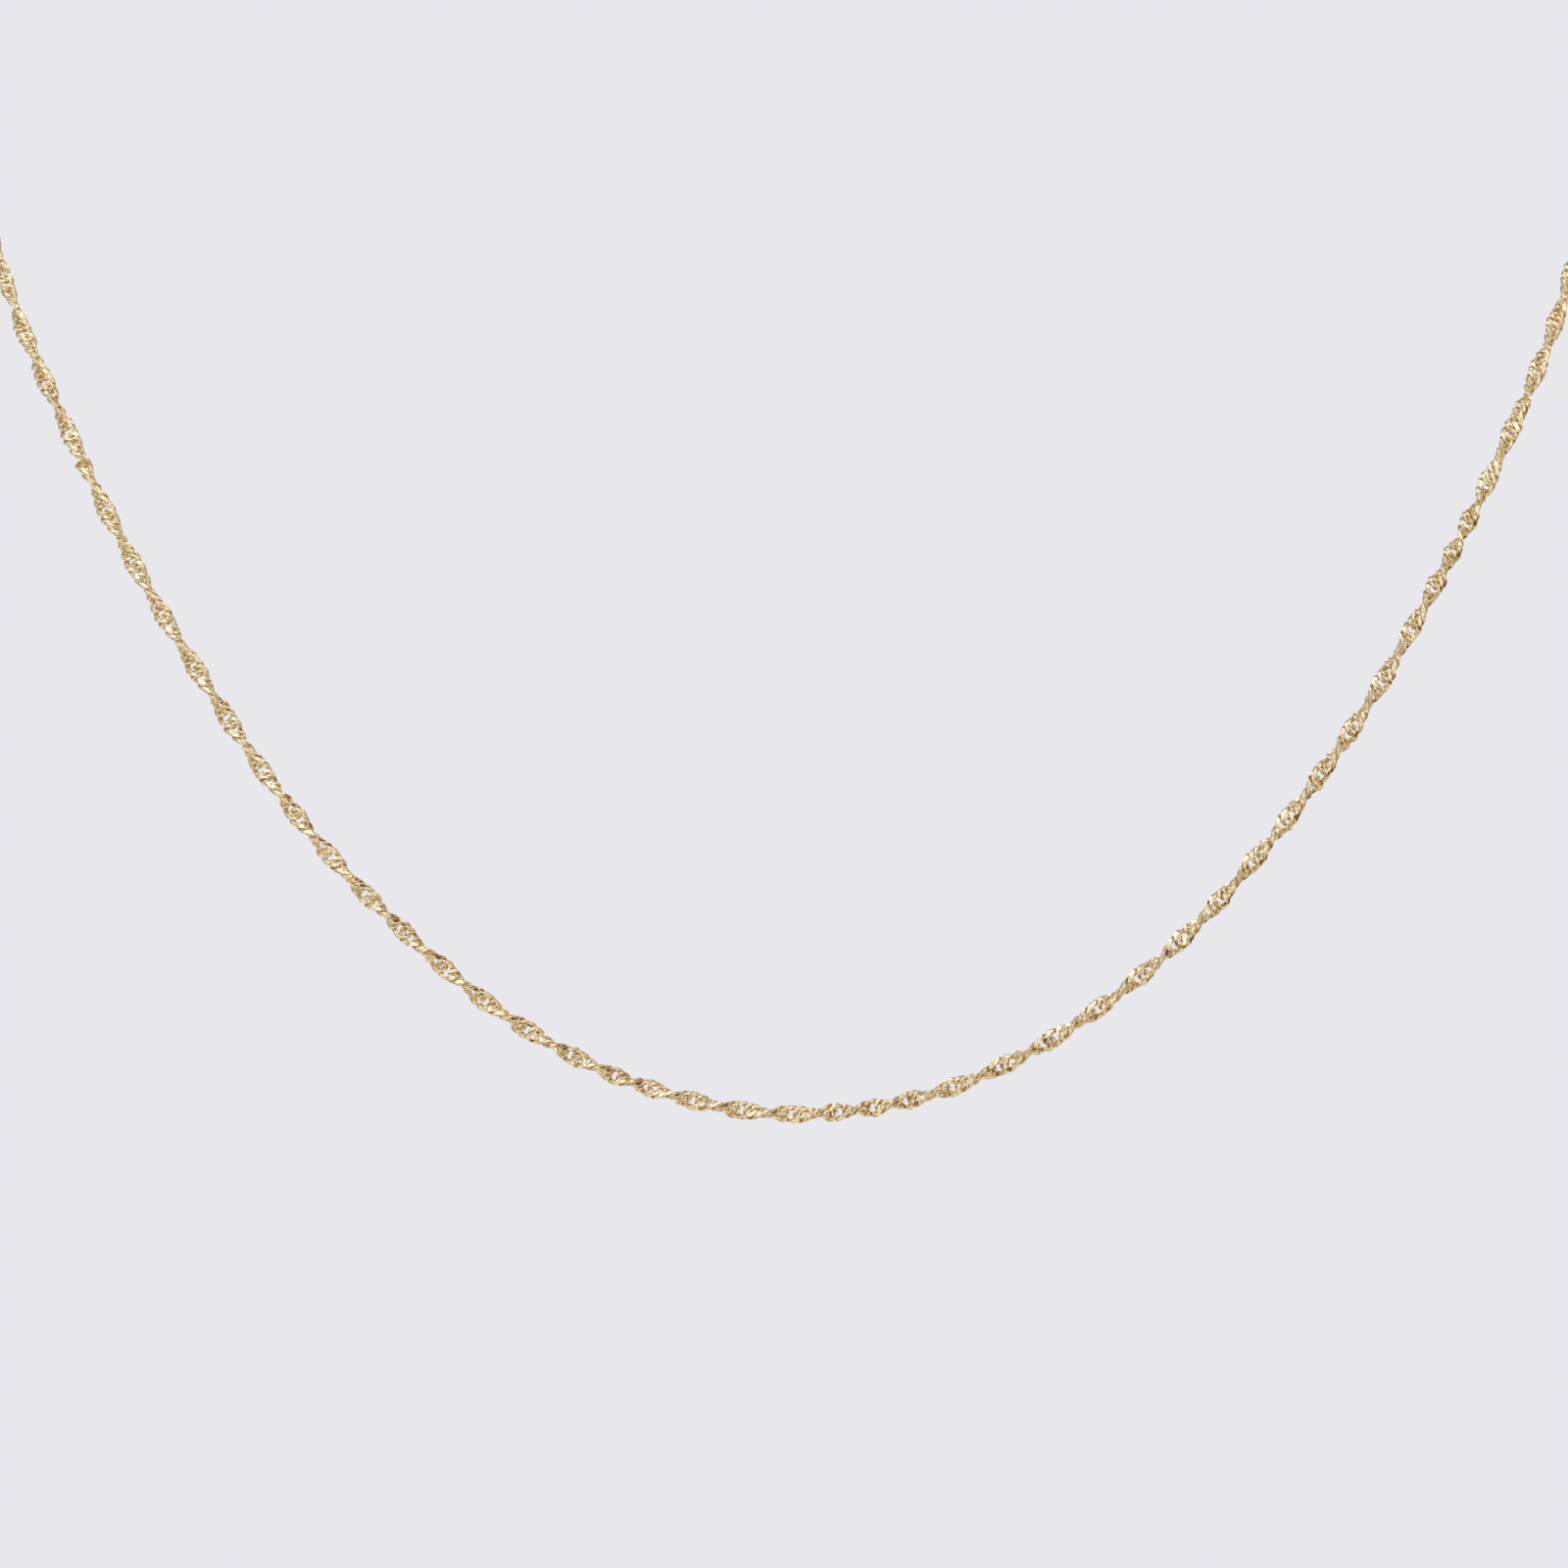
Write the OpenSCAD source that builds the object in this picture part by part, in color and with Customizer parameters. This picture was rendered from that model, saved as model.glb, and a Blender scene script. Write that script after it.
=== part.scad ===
// Singapore chain necklace, closed and hanging as it is worn. Millimetres, +Z up.
// The origin is the middle of the clasp at the nape of the neck, and the front of the necklace is towards -Y.

/* [Chain] */
// Width of the twisted chain over its widest links
chain_w = 1.2; // [0.8:0.1:1.6]
// Sides of the tube that stands for the chain
chain_sides = 8; // [8:1:12]
// Rings of the tube from one point of the route to the next
rings_per_span = 2; // [1:1:2]

/* [End links] */
// Radius of an end link to the middle of its wire
link_r = 0.74; // [0.7:0.02:0.8]
// Thickness of an end link's wire
link_wire = 0.32; // [0.2:0.02:0.32]

/* [Jump rings] */
// Radius of the catch ring to the middle of its wire
catch_r = 1.6; // [1.4:0.1:2]
// Thickness of the catch ring's wire
catch_wire = 0.54; // [0.4:0.02:0.54]
// Radius of the joining ring to the middle of its wire
joining_r = 1.2; // [1.1:0.05:1.6]
// Thickness of the joining ring's wire
joining_wire = 0.54; // [0.4:0.02:0.54]
// Lean of the jump rings out of the horizontal
ring_tilt = 30; // [0:5:40]

/* [Clasp] */
// Radius of the spring ring to the middle of its tube
clasp_r = 2.4; // [2.2:0.1:3]
// Thickness of the spring ring's tube
clasp_tube = 1; // [0.8:0.1:1]
// Radius of the eye to the middle of its wire
eye_r = 0.95; // [0.9:0.05:1.2]
// Thickness of the eye's wire
eye_wire = 0.6; // [0.5:0.05:0.6]
// Height of the thumb stud over the spring ring's tube
stud_h = 0.7; // [0.3:0.1:1]
// Thickness of the thumb stud
stud_w = 0.6; // [0.4:0.1:0.7]
// Place of the thumb stud round the spring ring, from the eye
stud_turn = 130; // [60:5:150]

/* [Fit] */
// Gap between two pieces that hang in each other
gap = 0.12; // [0.08:0.01:0.14]

/* [Hidden] */
gold = [0.87, 0.7, 0.38];
round_fn = 48;

// How far the eye's wire is sunk into the spring ring's tube, where the two are soldered.
eye_sink = 0.25;
eye_x = clasp_r + clasp_tube / 2 + eye_r - eye_sink;

// The closure lies along X. Each ring's near wire passes through the one before it, with the gap as its play.
joining_x = eye_x + eye_r - eye_wire / 2 - gap - joining_wire / 2 + joining_r;
link_right_x = joining_x + joining_r - joining_wire / 2 - gap - link_wire / 2 + link_r;
catch_x = -(clasp_r - clasp_tube / 2 - gap - catch_wire / 2 + catch_r);
link_left_x = catch_x - catch_r + catch_wire / 2 + gap + link_wire / 2 - link_r;
link_reach = link_r + link_wire / 2 + gap;

// The route of the chain's middle line, x, y, z: from the left end link round the neck to the hang's lowest point
// and back up to the right end link. The loop is 450 long with its closure.
ROUTE = [
    [link_left_x - link_reach, 0, 0],
    [-18, -1.8, -0.2],
    [-29.2, -6.2, -0.8],
    [-39, -13.2, -2.1],
    [-46.8, -22.8, -4.2],
    [-52.2, -34, -7.7],
    [-55.3, -46, -12.6],
    [-56.4, -58.2, -19.2],
    [-55.8, -69.4, -27.4],
    [-54.1, -79.2, -36.6],
    [-51.8, -87.5, -46],
    [-48.8, -94.3, -55],
    [-44.7, -99.9, -63.8],
    [-40.3, -104.2, -72.2],
    [-35.4, -107.4, -80.1],
    [-30.1, -109.7, -87.6],
    [-23.9, -111.1, -94.3],
    [-16.9, -111.8, -100.1],
    [-8.9, -112, -104.2],
    [0, -112, -106],
    [9, -112, -104.8],
    [17.1, -111.8, -101],
    [24.3, -111.2, -95.4],
    [30.4, -109.9, -88.6],
    [35.8, -107.8, -81.2],
    [40.5, -104.7, -73.2],
    [44.9, -100.4, -64.8],
    [48.8, -95, -56],
    [51.8, -87.5, -46],
    [54.1, -79.2, -36.6],
    [55.8, -69.4, -27.4],
    [56.4, -58.2, -19.2],
    [55.3, -46, -12.6],
    [52.2, -34, -7.7],
    [46.8, -22.8, -4.2],
    [39, -13.2, -2.1],
    [29.2, -6.2, -0.8],
    [18, -1.8, -0.2],
    [link_right_x + link_reach, 0, 0]
];

// A direction that the route never takes: across the slanted loop. Each ring of the tube is squared to it.
across_loop = [0, 0.69, -0.72];

function unit(v) = v / norm(v);

// The route's points with one more past each end, so that the end spans curve like the others.
function with_ends(p) = let (n = len(p)) concat([2 * p[0] - p[1]], p, [2 * p[n - 1] - p[n - 2]]);

// A point of the smooth curve through the points p, at t from 0 to 1 between p[i] and p[i + 1].
function on_span(p, i, t) =
    let (a = p[i - 1], b = p[i], c = p[i + 1], d = p[i + 2])
    (2 * b + (c - a) * t + (2 * a - 5 * b + 4 * c - d) * t * t + (3 * b - a - 3 * c + d) * t * t * t) / 2;

// The whole smooth curve, with n steps to a span.
function smooth(points, n) =
    let (p = with_ends(points), last = len(p) - 2)
    concat([for (i = [1 : last - 1], k = [0 : n - 1]) on_span(p, i, k / n)], [p[last]]);

// The direction of a line of points at its point i.
function heading(line, i) = unit(line[min(i + 1, len(line) - 1)] - line[max(i - 1, 0)]);

// One ring of the tube: an upright polygon of the given sides across the line at its point i.
function ring_points(line, i, r, sides) =
    let (along = heading(line, i), side = unit(cross(across_loop, along)), up = cross(along, side))
    [for (k = [0 : sides - 1]) let (a = 360 * (k + 0.5) / sides) line[i] + r * (cos(a) * side + sin(a) * up)];

// A closed tube along a line of points.
module tube(line, r, sides) {
    rings = len(line);
    points = [for (i = [0 : rings - 1]) each ring_points(line, i, r, sides)];
    walls = [
        for (i = [0 : rings - 2], k = [0 : sides - 1])
            let (a = i * sides + k, b = i * sides + (k + 1) % sides)
            [a, a + sides, b + sides, b]
    ];
    start_cap = [for (k = [0 : sides - 1]) k];
    end_cap = [for (k = [sides - 1 : -1 : 0]) (rings - 1) * sides + k];
    polyhedron(points = points, faces = concat([start_cap], walls, [end_cap]));
}

// A round wire ring about the Z axis.
module wire_ring(r, wire) {
    rotate_extrude($fn = round_fn)
        translate([r, 0])
            circle(d = wire, $fn = round_fn);
}

// A jump ring along the closure, leaning by ring_tilt.
module jump_ring(x, r, wire) {
    color(gold)
        translate([x, 0, 0])
            rotate([ring_tilt, 0, 0])
                wire_ring(r, wire);
}

// An end link, square to the jump ring that it hangs in.
module end_link(x) {
    color(gold)
        translate([x, 0, 0])
            rotate([ring_tilt + 90, 0, 0])
                wire_ring(link_r, link_wire);
}

module chain() {
    color(gold)
        tube(smooth(ROUTE, rings_per_span), chain_w / 2, chain_sides);
}

module end_link_left() {
    end_link(link_left_x);
}

module end_link_right() {
    end_link(link_right_x);
}

module catch_ring() {
    jump_ring(catch_x, catch_r, catch_wire);
}

module joining_ring() {
    jump_ring(joining_x, joining_r, joining_wire);
}

// The spring ring lies flat on the neck, with its eye soldered on towards the joining ring.
module clasp() {
    color(gold)
        rotate([90, 0, 0])
            union() {
                wire_ring(clasp_r, clasp_tube);
                translate([eye_x, 0, 0])
                    wire_ring(eye_r, eye_wire);
                rotate([0, 0, stud_turn])
                    translate([clasp_r, 0, 0])
                        rotate([0, 90, 0])
                            cylinder(h = clasp_tube / 2 + stud_h, d = stud_w, $fn = round_fn);
            }
}

chain();
end_link_left();
end_link_right();
catch_ring();
joining_ring();
clasp();
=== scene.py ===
import math

import bpy
import numpy as np
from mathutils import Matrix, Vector


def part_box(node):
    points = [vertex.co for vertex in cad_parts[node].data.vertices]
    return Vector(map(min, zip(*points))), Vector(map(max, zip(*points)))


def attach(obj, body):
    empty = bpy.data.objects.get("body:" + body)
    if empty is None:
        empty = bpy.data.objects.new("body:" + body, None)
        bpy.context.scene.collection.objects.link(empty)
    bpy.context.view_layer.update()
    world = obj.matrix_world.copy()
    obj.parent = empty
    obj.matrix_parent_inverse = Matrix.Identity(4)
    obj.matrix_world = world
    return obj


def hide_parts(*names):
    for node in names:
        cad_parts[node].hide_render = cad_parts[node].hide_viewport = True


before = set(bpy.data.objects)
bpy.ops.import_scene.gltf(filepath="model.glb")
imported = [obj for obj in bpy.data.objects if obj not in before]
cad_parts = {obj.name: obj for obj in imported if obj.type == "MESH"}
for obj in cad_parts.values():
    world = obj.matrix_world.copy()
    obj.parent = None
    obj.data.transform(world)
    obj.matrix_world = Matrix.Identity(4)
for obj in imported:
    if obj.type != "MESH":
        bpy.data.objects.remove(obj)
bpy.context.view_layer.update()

# Metres in a millimetre.
MM = 0.001

# A link is an oval ring of flattened wire, which holds the two links before it and the two after it. It is
# bent so that its near strands, the upper left and the lower right ones, stand in front of the others' far
# ones, and the links lie in one flat chain. The wire has six sides. It swells from the link's ends to its two
# long sides, and more suddenly the higher the swell's power.
LINK_WIDTH = 1.30 * MM
LINK_PITCH = 0.5055 * MM
LINKS_HELD = 2
LINK_PLAY = 0.01 * MM
LINK_BEND = 0.145 * MM
BEND_SQUARENESS = 2.0
WIRE_AT_SIDES = 0.42 * MM
WIRE_AT_ENDS = 0.18 * MM
WIRE_THICKNESS = 0.24 * MM
SWELL_POWER = 4
LINK_STEPS = 44
WIRE_SIDES = 6
LINK_REACH = (LINK_PITCH * LINKS_HELD + WIRE_AT_ENDS) / 2 + LINK_PLAY

# How much further the first and the last link reach, to hold the end links clear of their neighbours.
END_REACH = 0.15 * MM

# The cutter's facets. Each row is a facet's angle about the chain from its near face, its lean along the
# chain, both in degrees, and its distance from the link's middle in millimetres.
CUTS = [
    (0, -8, 0.275), (0, 8, 0.275), (180, -8, 0.275), (180, 8, 0.275),
    (90, 0, 0.625), (-90, 0, 0.625),
    (50, 0, 0.45), (-50, 0, 0.45), (130, 0, 0.45), (-130, 0, 0.45),
]
# The facets turn out a little uneven, in angle and in depth.
CUT_ANGLE_SPREAD = math.radians(5)
CUT_DEPTH_SPREAD = 0.012 * MM

# How far a link lies off its place: turned about the chain, leaning, and moved.
LOOSE_ROLL = math.radians(3.0)
LOOSE_LEAN = math.radians(2.0)
LOOSE_SHIFT = 0.006 * MM
SEED = 7
# The links lie in pairs: every second one is moved on along the chain and turned one way about it, and the
# others are moved back and turned the other way.
PAIR_SHIFT = 0.04 * MM
PAIR_ROLL = math.radians(6)

# How many pieces the links are joined into, and how far from the end links the chain's route ends.
CHAIN_PIECES = 6
END_GAP = 0.12 * MM

# The route of the chain's middle line, in millimetres: from the left end link round the neck to the lowest
# point of the hang and back up to the right end link. The two ends are filled in from the end links.
ROUTE = [
    (-18, -1.8, -0.2), (-29.2, -6.2, -0.8), (-39, -13.2, -2.1), (-46.8, -22.8, -4.2), (-52.2, -34, -7.7),
    (-55.3, -46, -12.6), (-56.4, -58.2, -19.2), (-55.8, -69.4, -27.4), (-54.1, -79.2, -36.6),
    (-51.8, -87.5, -46), (-48.8, -94.3, -55), (-44.7, -99.9, -63.8), (-40.3, -104.2, -72.2),
    (-35.4, -107.4, -80.1), (-30.1, -109.7, -87.6), (-23.9, -111.1, -94.3), (-16.9, -111.8, -100.1),
    (-8.9, -112, -104.2), (0, -112, -106), (9, -112, -104.8), (17.1, -111.8, -101), (24.3, -111.2, -95.4),
    (30.4, -109.9, -88.6), (35.8, -107.8, -81.2), (40.5, -104.7, -73.2), (44.9, -100.4, -64.8),
    (48.8, -95, -56), (51.8, -87.5, -46), (54.1, -79.2, -36.6), (55.8, -69.4, -27.4), (56.4, -58.2, -19.2),
    (55.3, -46, -12.6), (52.2, -34, -7.7), (46.8, -22.8, -4.2), (39, -13.2, -2.1), (29.2, -6.2, -0.8),
    (18, -1.8, -0.2),
]
# The steps of a smooth curve from one of its points to the next.
STEPS_PER_SPAN = 60
# The angle between two faces over which their edge is sharp.
SHARP_OVER = math.radians(33)

# How the flat chain winds: millimetres along the chain from its left end, and half turns made by then. It
# shows its edge to the front at each half turn and a half. The two ends are about square to the end links.
TWIST = [
    (142.0, 35.5), (151.8, 37.5), (160.7, 39.5), (172.8, 42.5), (180.5, 44.5), (190.6, 47.5), (200.3, 50.5),
    (206.7, 52.5), (211.5, 54.5), (217.6, 56.5), (220.6, 57.5), (227.7, 60.5), (234.2, 62.5), (244.2, 65.5),
    (254.3, 68.5), (264.7, 71.5), (272.4, 73.5), (280.3, 76.5), (288.1, 78.5), (292.8, 79.5),
]
FIRST_HALF_TURN = 0.71
LAST_HALF_TURN = 116.59

# The wire of a jump ring and of the clasp's eye, in thickness, the eye's radius, and the lean of the jump
# rings out of the level in degrees.
JUMP_WIRE = 0.54 * MM
EYE_WIRE = 0.6 * MM
EYE_RADIUS = 0.95 * MM
JUMP_RING_LEAN = 30
# The slit where a jump ring was closed: its place round the ring in degrees, its width, and the share of the
# wire's width that is left at its worn edges.
SLIT_PLACE = 64
SLIT_WIDTH = 0.03 * MM
SLIT_EDGE_SHARE = 0.9

# The spring ring, with places round it in degrees from its eye. Its tube is open over the gap, which the
# tongue closes, and has a slot along its outer side for the thumb stud.
TONGUE_GAP = (140, 168)
TONGUE_OVERLAP = 5
TONGUE_WIDTH = 0.62 * MM
SLOT = (84, 132)
SLOT_HALF_ANGLE = 20
SLOT_DEPTH = 0.22 * MM
# Where the slot's floor has its points, as shares of its half angle, and how steep its ends are in degrees.
SLOT_FLOOR = np.array([-0.95, -0.5, 0, 0.5, 0.95])
SLOT_END = 0.1
STUD_PLACE = 130
# The shape of a tube end: degrees from the end, and how much the tube is wider there than elsewhere.
COLLAR_EDGE = 0.8
COLLAR = [(0, -0.03 * MM), (COLLAR_EDGE, 0.03 * MM), (5, 0.03 * MM), (5.6, 0)]
# The shape of the thumb stud: distance from the ring's middle, and half of its width there.
STUD = [
    (2.5 * MM, 0.15 * MM), (2.95 * MM, 0.15 * MM), (2.98 * MM, 0.28 * MM), (3.02 * MM, 0.3 * MM),
    (3.48 * MM, 0.3 * MM), (3.56 * MM, 0.26 * MM), (3.6 * MM, 0.18 * MM),
]
# The sides of the closure's wires, and the rings of points along each.
CLOSURE_SIDES = 32
JUMP_RING_STEPS = 121
TUBE_STEPS = 221
TONGUE_STEPS = 31
EYE_STEPS = 72

# The camera looks level at the hang, along +Y.
FRONT_Y = -112 * MM
LOWEST_Z = -106 * MM
CAMERA_AWAY = 600 * MM
VIEW_WIDTH = 96 * MM
LOWEST_BELOW_CENTRE = 20.2 * MM
SENSOR_MM = 36

# The light looks at about the middle of the hang.
HANG_MIDDLE = (0, -110 * MM, -90 * MM)

# The plain pale surroundings, as the camera sees them.
PALE = (0.807, 0.799, 0.840)
FLOOR_Z = -250 * MM
FLOOR_RADIUS = 950 * MM
FLOOR_SIDES = 96

# What the gold reflects: the room's tone straight below and above, and then soft places in it, one over the
# other. Each is a direction from the chain, the degrees to which it is full, those by which it is gone, and
# its colour.
ROOM_BELOW = (0.84, 0.74, 0.63)
ROOM_ABOVE = (0.81, 0.80, 0.82)
STUDIO = [
    ((-1.00, -0.30, 0.10), 25, 55, (0.88, 0.88, 0.90)),
    ((1.00, -0.30, -0.10), 20, 50, (0.56, 0.48, 0.41)),
    ((0.00, -1.00, 0.00), 7, 15, (0.76, 0.65, 0.53)),
    ((-0.60, -0.78, 0.00), 7, 14, (0.60, 0.59, 0.42)),
    ((0.66, -0.74, 0.02), 7, 14, (0.77, 0.53, 0.39)),
    ((0.85, -0.50, 0.12), 6, 13, (1.16, 1.22, 1.50)),
    ((0.50, -0.81, 0.30), 8, 16, (1.12, 1.17, 1.42)),
    ((-0.50, -0.81, -0.30), 8, 15, (0.34, 0.21, 0.16)),
    ((-0.30, -0.70, 0.65), 23, 33, (1.20, 1.25, 1.54)),
    ((0.30, -0.70, -0.65), 25, 35, (0.17, 0.10, 0.07)),
    ((-0.72, -0.42, 0.55), 12, 26, (0.52, 0.44, 0.36)),
    ((0.00, 1.00, 0.00), 60, 84, (0.43, 0.39, 0.38)),
]

# The numbers of a mix node's sockets for colours.
MIX_SHARE = 0
MIX_LOW = 6
MIX_HIGH = 7
MIX_RESULT = 2


def unit(v):
    return v / np.linalg.norm(v, axis=-1, keepdims=True)


def smooth_line(points, steps):
    """The smooth curve through the points, with the given steps from one to the next."""
    p = np.vstack([2 * points[0] - points[1], points, 2 * points[-1] - points[-2]])
    t = np.linspace(0, 1, steps, endpoint=False)[:, None]
    spans = []
    for a, b, c, d in zip(p[:-3], p[1:-2], p[2:-1], p[3:]):
        bend, swing = 2 * a - 5 * b + 4 * c - d, 3 * b - a - 3 * c + d
        spans.append((2 * b + (c - a) * t + bend * t**2 + swing * t**3) / 2)
    return np.vstack([*spans, points[-1:]])


class Route:
    """The chain's middle line, read by the length from its left end, and how the flat chain winds on it."""

    def __init__(self):
        left_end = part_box("end_link_left")[0][0] - END_GAP
        right_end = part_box("end_link_right")[1][0] + END_GAP
        points = [(left_end, 0, 0), *(np.array(ROUTE) * MM), (right_end, 0, 0)]
        self.line = smooth_line(np.array(points, float), STEPS_PER_SPAN)
        steps = np.linalg.norm(np.diff(self.line, axis=0), axis=1)
        self.stations = np.concatenate([[0], np.cumsum(steps)])
        self.along = unit(np.gradient(self.line, self.stations, axis=0))
        self.length = self.stations[-1]
        twist = [(0, FIRST_HALF_TURN), *TWIST, (self.length / MM, LAST_HALF_TURN)]
        self.twist = smooth_line(np.array(twist, float), STEPS_PER_SPAN)

    def read(self, values, s):
        return np.stack([np.interp(s, self.stations, values[:, k]) for k in range(3)], -1)

    def frame_at(self, s):
        """The point at s, and the directions along the route, up across it and out towards the front."""
        s_on = np.clip(s, 0, self.length)
        along = unit(self.read(self.along, s_on))
        point = self.read(self.line, s_on) + along * (s - s_on)[..., None]
        front = np.array([0.0, -1.0, 0.0])
        out = unit(front - along * (along @ front)[..., None])
        return point, along, np.cross(out, along), out

    def wind(self, s, y, z):
        """Where a point of the flat chain lies: s along it, y across it and z out of its near face."""
        point, along, up, out = self.frame_at(s)
        angle = -math.pi * np.interp(s / MM, self.twist[:, 0], self.twist[:, 1])
        cos, sin = np.cos(angle)[..., None], np.sin(angle)[..., None]
        return point + y[..., None] * (cos * up + sin * out) + z[..., None] * (cos * out - sin * up)


def mesh_object(name, points, faces):
    """A smooth-shaded object, whose edges stay sharp where two faces turn by more than the limit."""
    mesh = bpy.data.meshes.new(name)
    mesh.from_pydata(points, [], faces)
    mesh.shade_smooth()
    mesh.set_sharp_from_angle(angle=SHARP_OVER)
    mesh.validate()
    obj = bpy.data.objects.new(name, mesh)
    bpy.context.scene.collection.objects.link(obj)
    return obj


def loop_faces(rings, sides):
    """The four-sided faces of a closed loop of wire whose points are in rings, ring after ring."""
    ring, side = np.meshgrid(np.arange(rings), np.arange(sides), indexing="ij")
    after, beside = (ring + 1) % rings, (side + 1) % sides
    corners = [ring * sides + side, ring * sides + beside, after * sides + beside, after * sides + side]
    return np.stack(corners, -1).reshape(-1, 4)


def wire_object(name, points, closed=False):
    """An object from a wire's surface points, ring after ring, capped at its ends or closed to a loop."""
    rings, sides = points.shape[:2]
    faces = loop_faces(rings, sides).tolist()
    if not closed:
        last_ring = (rings - 1) * sides
        start_cap = list(range(sides))[::-1]
        end_cap = list(range(last_ring, last_ring + sides))
        faces = [*faces[:last_ring], start_cap, end_cap]
    return mesh_object(name, points.reshape(-1, 3), faces)


def swept_wire(centre, reference, width, thickness, sides):
    """The surface points of a closed loop of flattened wire. reference is the direction of its thickness."""
    ahead = unit(np.roll(centre, -1, axis=0) - np.roll(centre, 1, axis=0))
    side = unit(np.cross(reference, ahead))
    normal = np.cross(ahead, side)
    a = np.arange(sides) * 2 * math.pi / sides
    wide = np.cos(a)[:, None] * (side * width[:, None] / 2)[:, None]
    thick = np.sin(a)[:, None] * (normal * thickness / 2)[:, None]
    return centre[:, None] + wide + thick


def flat_link():
    """The surface points of one link of the flat chain: along it, across it and out of its near face."""
    a = np.arange(LINK_STEPS) * 2 * math.pi / LINK_STEPS
    cos, sin = np.cos(a), np.sin(a)
    half_width = (LINK_WIDTH - WIRE_AT_SIDES) / 2
    bend = np.tanh(BEND_SQUARENESS * np.sin(2 * a)) / math.tanh(BEND_SQUARENESS)
    centre = np.stack([
        LINK_REACH * cos,
        half_width * sin,
        -LINK_BEND * bend,
    ], -1)
    width = WIRE_AT_ENDS + (WIRE_AT_SIDES - WIRE_AT_ENDS) * np.abs(sin) ** SWELL_POWER
    return swept_wire(centre, np.array([0.0, 0.0, 1.0]), width, WIRE_THICKNESS, WIRE_SIDES)


def cut_facets(u, y, z, luck):
    """The links' points across the flat chain and out of it, with the facets cut, each a little uneven."""
    one_each = (len(u), 1, 1)
    for angle, slope, distance in CUTS:
        angle = math.radians(angle) + luck.normal(0, CUT_ANGLE_SPREAD, one_each)
        slope = math.radians(slope) + luck.normal(0, CUT_ANGLE_SPREAD, one_each)
        depth = distance * MM + luck.normal(0, CUT_DEPTH_SPREAD, one_each)
        toward_y, toward_z = np.sin(angle), np.cos(angle)
        over = np.maximum(u * slope + y * toward_y + z * toward_z - depth, 0)
        y, z = y - over * toward_y, z - over * toward_z
    return y, z


def chain_pieces(route):
    """The whole chain as a few joined meshes of links, which hold the end links at both ends."""
    spans = round(route.length / LINK_PITCH)
    places = np.linspace(END_REACH, route.length - END_REACH, spans + 1)[:, None, None]
    places[0] -= END_REACH / 2
    places[-1] += END_REACH / 2
    one_each = places.shape
    ends = [0, -1]
    stretch = np.ones(one_each)
    stretch[ends] += END_REACH / 2 / LINK_REACH
    luck = np.random.default_rng(SEED)
    side_of_pair = np.where(np.arange(spans + 1) % 2, 1, -1)[:, None, None]
    roll = luck.normal(0, LOOSE_ROLL, one_each) + side_of_pair * PAIR_ROLL
    lean = luck.normal(0, LOOSE_LEAN, one_each)
    shift = luck.normal(0, LOOSE_SHIFT, (3, *one_each))
    shift[0] += side_of_pair * PAIR_SHIFT
    roll[ends] = lean[ends] = shift[:, ends] = 0

    u, y, z = np.moveaxis(flat_link(), -1, 0)[:, None]
    u = u * stretch
    y, z = cut_facets(u, y, z, luck)
    u, y, z = u + lean * z, y - roll * z, z + roll * y - lean * u
    points = route.wind(places + u + shift[0], y + shift[1], z + shift[2])

    faces = loop_faces(LINK_STEPS, WIRE_SIDES)
    pieces = []
    for number, links in enumerate(np.array_split(points, CHAIN_PIECES), 1):
        starts = np.arange(len(links))[:, None, None] * LINK_STEPS * WIRE_SIDES
        all_faces = (faces[None] + starts).reshape(-1, 4)
        pieces.append(mesh_object(f"chain_links_{number}", links.reshape(-1, 3), all_faces))
    return pieces


def bent_wire(radius, angles, half_width, around):
    """The surface points of a wire bent round the Y axis, at angles in degrees from X towards Z.

    half_width has a row for each angle. around holds the directions from the wire's middle, in radians from
    outwards.
    """
    a = np.radians(angles)[:, None]
    outward = radius + half_width * np.cos(around)
    return np.stack([outward * np.cos(a), half_width * np.sin(around), outward * np.sin(a)], -1)


def even_sides():
    return np.arange(CLOSURE_SIDES) * 2 * math.pi / CLOSURE_SIDES


def jump_ring(name):
    """A ring of round wire with the slit where it was closed."""
    low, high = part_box(name)
    radius = (high[0] - low[0] - JUMP_WIRE) / 2
    slit = math.degrees(SLIT_WIDTH / radius)
    angles = SLIT_PLACE + np.linspace(slit / 2, 360 - slit / 2, JUMP_RING_STEPS)
    half_width = np.full((len(angles), 1), JUMP_WIRE / 2)
    half_width[[0, -1]] *= SLIT_EDGE_SHARE
    x, y, z = np.moveaxis(bent_wire(radius, angles, half_width, even_sides()), -1, 0)
    lean = math.radians(JUMP_RING_LEAN - 90)
    y, z = y * math.cos(lean) - z * math.sin(lean), y * math.sin(lean) + z * math.cos(lean)
    return wire_object(f"{name}_wire", np.stack([x + (low[0] + high[0]) / 2, y, z], -1))


def spring_ring_tube(radius, half_width):
    """The spring ring's tube, with a collar at each end of its gap and the stud's slot in its outer side."""
    start, end = TONGUE_GAP[1], TONGUE_GAP[0] + 360
    slot = np.add(SLOT, 360)
    edges = [start + COLLAR_EDGE, end - COLLAR_EDGE, slot[0] - SLOT_END, slot[1] + SLOT_END]
    angles = np.unique([*np.linspace(start, end, TUBE_STEPS), *slot, *edges])
    edge = math.radians(SLOT_HALF_ANGLE)
    in_slot = edge * SLOT_FLOOR
    around = np.concatenate([in_slot, np.linspace(edge, 2 * math.pi - edge, CLOSURE_SIDES)])
    from_end = np.minimum(angles - start, end - angles)
    width = half_width + np.interp(from_end, *zip(*COLLAR))[:, None]
    cut = ((angles >= slot[0]) & (angles <= slot[1]))[:, None] & (np.arange(len(around)) < len(in_slot))
    return wire_object("clasp_tube", bent_wire(radius, angles, width - SLOT_DEPTH * cut, around))


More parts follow.
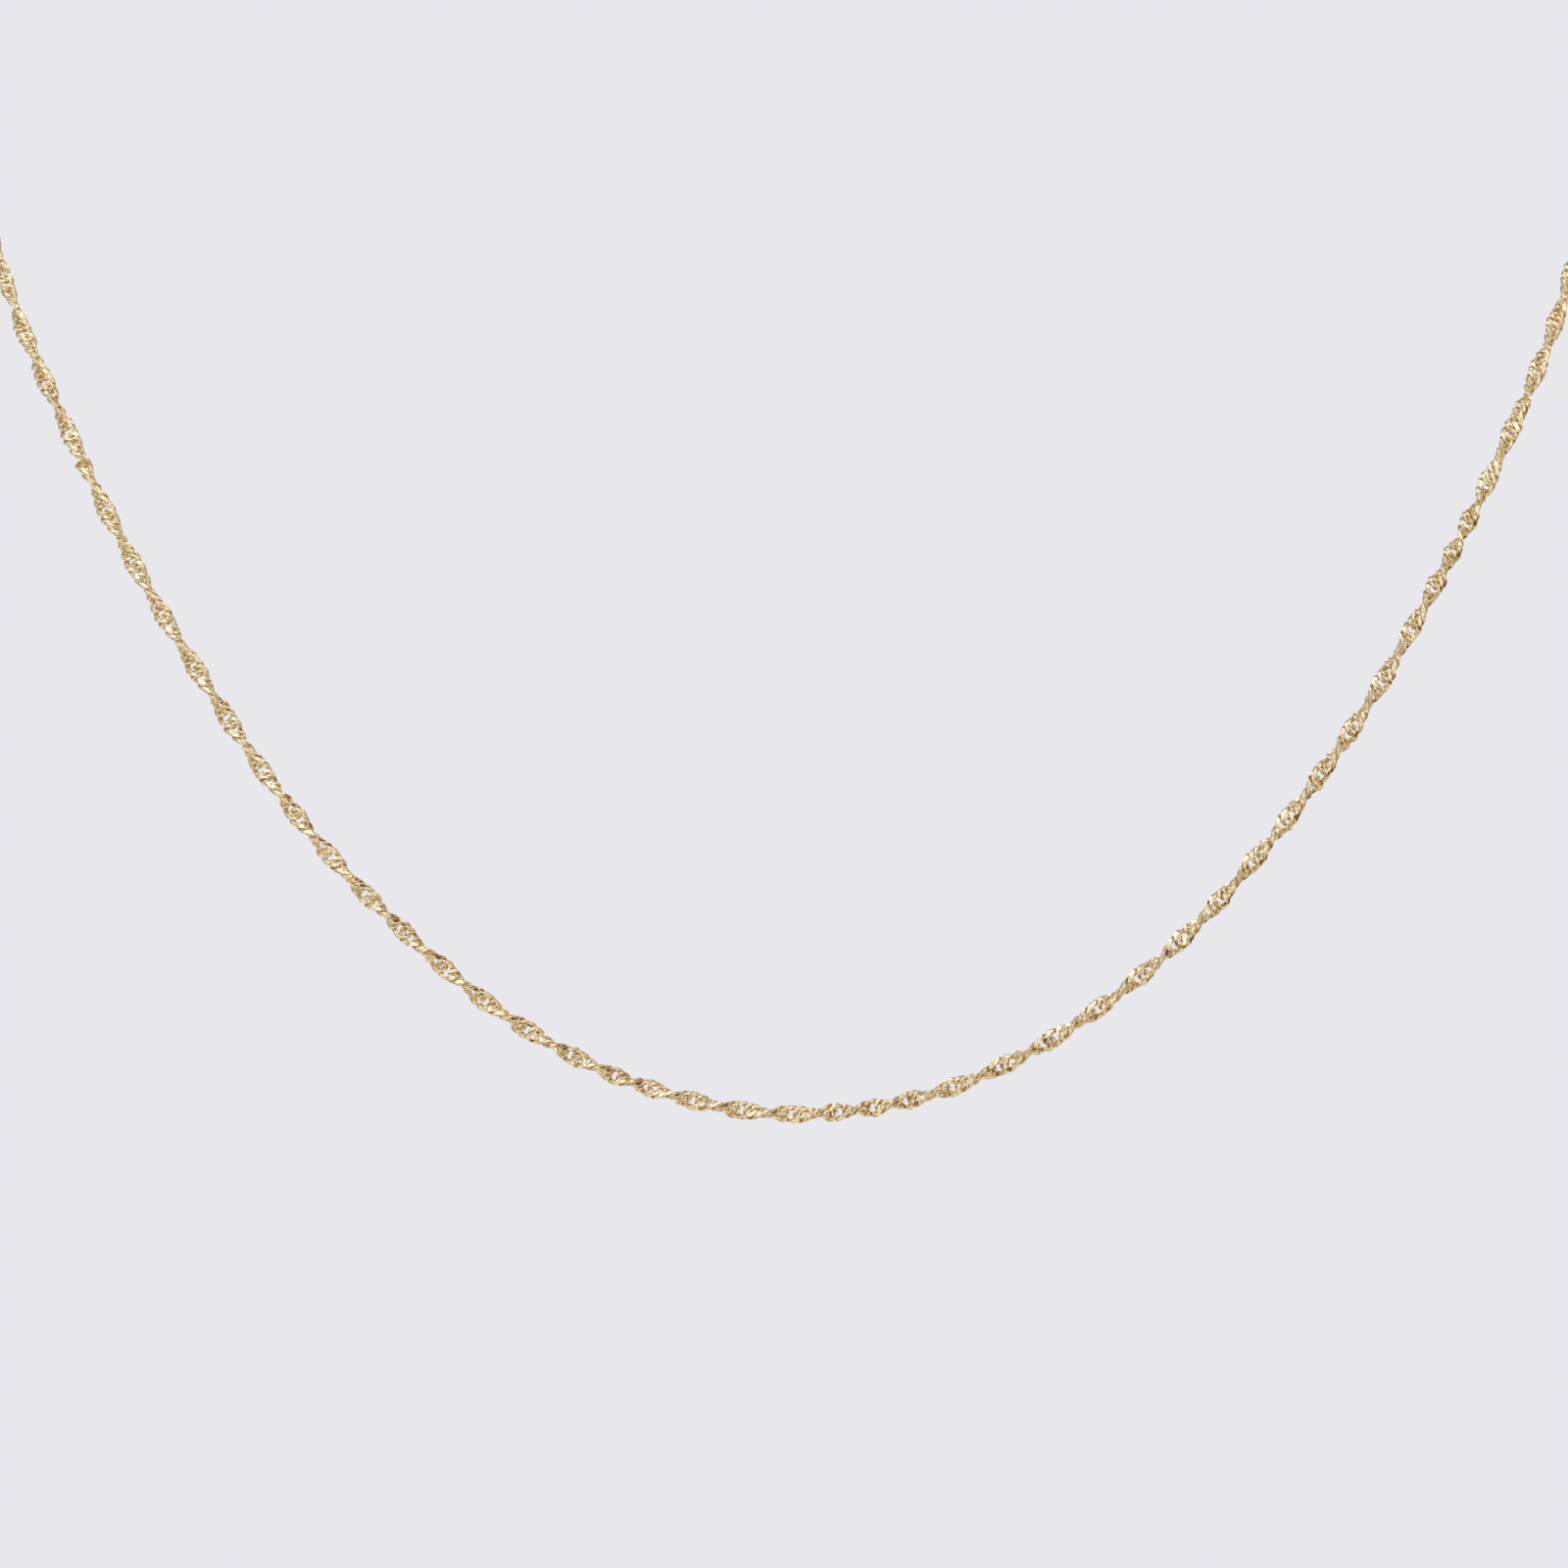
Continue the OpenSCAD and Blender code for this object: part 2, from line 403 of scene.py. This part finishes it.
def thumb_stud():
    """The stud, turned about the line from the ring's middle to its place."""
    a = math.radians(STUD_PLACE)
    outward, sideways, back = np.array([
        (math.cos(a), 0, math.sin(a)), (-math.sin(a), 0, math.cos(a)), (0, -1, 0),
    ])
    distance, half_width = np.array(STUD).T[:, :, None, None]
    around = even_sides()[:, None]
    across = np.cos(around) * sideways + np.sin(around) * back
    return wire_object("clasp_stud", distance * outward + half_width * across)


def clasp_pieces():
    """The spring ring in the clasp's own size: tube, tongue, stud and eye."""
    low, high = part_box("clasp")
    half_tube = (high[1] - low[1]) / 2
    radius = -low[0] - half_tube
    start, end = TONGUE_GAP[0] - TONGUE_OVERLAP, TONGUE_GAP[1] + TONGUE_OVERLAP
    along_tongue = np.linspace(start, end, TONGUE_STEPS)
    tongue = bent_wire(radius, along_tongue, np.full((TONGUE_STEPS, 1), TONGUE_WIDTH / 2), even_sides())
    round_eye = np.linspace(0, 360, EYE_STEPS, endpoint=False)
    eye = bent_wire(EYE_RADIUS, round_eye, np.full((EYE_STEPS, 1), EYE_WIRE / 2), even_sides())
    eye[..., 0] += high[0] - EYE_WIRE / 2 - EYE_RADIUS
    return [
        spring_ring_tube(radius, half_tube),
        wire_object("clasp_tongue", tongue),
        thumb_stud(),
        wire_object("clasp_eye", eye, closed=True),
    ]


class NodeTree:
    """A node tree, with a short call for the nodes that it needs."""

    def __init__(self, tree):
        self.nodes = tree.nodes
        self.links = tree.links

    def node(self, kind, inputs=(), **settings):
        node = self.nodes.new(kind)
        for name, value in settings.items():
            setattr(node, name, value)
        for name, value in dict(inputs).items():
            if isinstance(value, bpy.types.NodeSocket):
                self.links.new(value, node.inputs[name])
            else:
                node.inputs[name].default_value = value
        return node

    def mixed(self, share, low, high):
        """The colour that lies between low and high by the given share."""
        inputs = {MIX_SHARE: share, MIX_LOW: low, MIX_HIGH: high}
        return self.node("ShaderNodeMix", inputs, data_type="RGBA").outputs[MIX_RESULT]


class Material(NodeTree):
    """A node material round one principled shader."""

    def __init__(self, name):
        self.material = bpy.data.materials.new(name)
        self.material.use_nodes = True
        super().__init__(self.material.node_tree)
        self.shader = next(n for n in self.nodes if n.type == "BSDF_PRINCIPLED")

    def ramp(self, factor, *stops):
        """A colour ramp from factor: each stop is a place and a colour."""
        node = self.node("ShaderNodeValToRGB", {"Fac": factor})
        for stop, (place, colour) in zip(node.color_ramp.elements, stops):
            stop.position = place
            stop.color = (*colour, 1)
        return node.outputs["Color"]


def gold(name, scratch_depth):
    """Polished yellow gold: its tone varies a little, and it has fine scratches and hazy places."""
    m = Material(name)
    place = m.node("ShaderNodeTexCoord").outputs["Object"]
    tone = m.node("ShaderNodeTexNoise", {"Vector": place, "Scale": 900.0, "Detail": 3.0, "Roughness": 0.6})
    colour = m.ramp(tone.outputs["Fac"], (0.3, (0.88, 0.72, 0.42)), (0.7, (0.96, 0.84, 0.57)))
    haze = m.node("ShaderNodeTexNoise", {"Vector": place, "Scale": 2600.0, "Detail": 4.0, "Roughness": 0.65})
    roughness = m.ramp(haze.outputs["Fac"], (0.3, (0.10, 0.10, 0.10)), (0.75, (0.26, 0.26, 0.26)))
    stretched = m.node("ShaderNodeMapping", {
        "Vector": place, "Scale": (1.0, 1.0, 7.0), "Rotation": (0.5, 0.9, 0.3),
    }).outputs["Vector"]
    scratches = m.node("ShaderNodeTexNoise", {"Vector": stretched, "Scale": 5200.0, "Detail": 5.0})
    bump = m.node("ShaderNodeBump", {
        "Height": scratches.outputs["Fac"], "Strength": 0.25, "Distance": scratch_depth,
    })
    m.links.new(colour, m.shader.inputs["Base Color"])
    m.links.new(roughness, m.shader.inputs["Roughness"])
    m.links.new(bump.outputs["Normal"], m.shader.inputs["Normal"])
    m.shader.inputs["Metallic"].default_value = 1.0
    return m.material


def set_material(obj, material):
    if not obj.data.materials:
        obj.data.materials.append(material)
    for slot in obj.material_slots:
        slot.material = material


def add_camera():
    data = bpy.data.cameras.new("camera")
    data.sensor_fit = "HORIZONTAL"
    data.sensor_width = SENSOR_MM
    data.lens = SENSOR_MM * CAMERA_AWAY / VIEW_WIDTH
    data.clip_start = 0.01
    data.clip_end = 20
    data.dof.use_dof = False
    camera = bpy.data.objects.new("camera", data)
    camera.location = (0, FRONT_Y - CAMERA_AWAY, LOWEST_Z + LOWEST_BELOW_CENTRE)
    camera.rotation_euler = (math.pi / 2, 0, 0)
    bpy.context.scene.collection.objects.link(camera)
    bpy.context.scene.camera = camera


def add_light(name, place, target, size, power, colour):
    """A soft box at a place, which looks at a target."""
    data = bpy.data.lights.new(name, "AREA")
    data.shape = "RECTANGLE"
    data.size, data.size_y = size
    data.energy = power
    data.color = colour
    light = bpy.data.objects.new(name, data)
    light.location = place
    light.rotation_euler = (Vector(target) - Vector(place)).to_track_quat("-Z", "Y").to_euler()
    light.visible_camera = False
    bpy.context.scene.collection.objects.link(light)


def add_surroundings():
    """The camera sees one pale tone. The gold sees a studio, whose tones lie round it by direction."""
    world = bpy.data.worlds.new("studio")
    bpy.context.scene.world = world
    world.use_nodes = True
    w = NodeTree(world.node_tree)
    w.nodes.clear()
    direction = w.node("ShaderNodeTexCoord").outputs["Generated"]
    height = w.node("ShaderNodeSeparateXYZ", {"Vector": direction}).outputs["Z"]
    share = w.node("ShaderNodeMapRange", {"Value": height, "From Min": -1.0, "From Max": 1.0})
    room = w.mixed(share.outputs["Result"], (*ROOM_BELOW, 1), (*ROOM_ABOVE, 1))
    for toward, full_to, gone_by, colour in STUDIO:
        axis = Vector(toward).normalized()
        near = w.node("ShaderNodeVectorMath", {0: direction, 1: axis}, operation="DOT_PRODUCT")
        weight = w.node("ShaderNodeMapRange", {
            "Value": near.outputs["Value"],
            "From Min": math.cos(math.radians(gone_by)),
            "From Max": math.cos(math.radians(full_to)),
        }, interpolation_type="SMOOTHSTEP")
        room = w.mixed(weight.outputs["Result"], room, (*colour, 1))
    seen = w.node("ShaderNodeBackground", {"Color": (*PALE, 1), "Strength": 1.0})
    reflected = w.node("ShaderNodeBackground", {"Color": room, "Strength": 1.0})
    is_camera = w.node("ShaderNodeLightPath").outputs["Is Camera Ray"]
    mix = w.node("ShaderNodeMixShader", {0: is_camera, 1: reflected.outputs[0], 2: seen.outputs[0]})
    output = w.node("ShaderNodeOutputWorld")
    w.links.new(mix.outputs[0], output.inputs["Surface"])
    bpy.context.scene.view_settings.view_transform = "Standard"


def add_floor():
    """A plain pale floor under the hanging chain. The gold reflects the studio in its place."""
    a = np.arange(FLOOR_SIDES) * 2 * math.pi / FLOOR_SIDES
    rim = np.stack([FLOOR_RADIUS * np.cos(a), FLOOR_RADIUS * np.sin(a), np.full(FLOOR_SIDES, FLOOR_Z)], -1)
    floor = mesh_object("floor", rim, [list(range(FLOOR_SIDES))])
    m = Material("floor_paper")
    place = m.node("ShaderNodeTexCoord").outputs["Object"]
    fibre = m.node("ShaderNodeTexNoise", {"Vector": place, "Scale": 400.0, "Detail": 4.0})
    colour = m.ramp(fibre.outputs["Fac"], (0.3, (0.80, 0.79, 0.83)), (0.7, (0.83, 0.82, 0.86)))
    m.links.new(colour, m.shader.inputs["Base Color"])
    m.shader.inputs["Roughness"].default_value = 0.9
    set_material(floor, m.material)
    floor.visible_glossy = False


def dress(piece, node, material):
    """A piece that stands for the frame's node."""
    set_material(piece, material)
    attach(piece, "root")
    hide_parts(node)


add_camera()
chain_gold = gold("chain_gold", 0.004 * MM)
finding_gold = gold("finding_gold", 0.006 * MM)
for piece in chain_pieces(Route()):
    dress(piece, "chain", chain_gold)
for piece in clasp_pieces():
    dress(piece, "clasp", finding_gold)
for name in ("catch_ring", "joining_ring"):
    dress(jump_ring(name), name, finding_gold)
for name in ("end_link_left", "end_link_right"):
    set_material(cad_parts[name], finding_gold)
add_surroundings()
add_light("top", (0.05, -0.15, 0.75), HANG_MIDDLE, (0.6, 0.6), 1.0, (1, 0.98, 0.96))
add_floor()
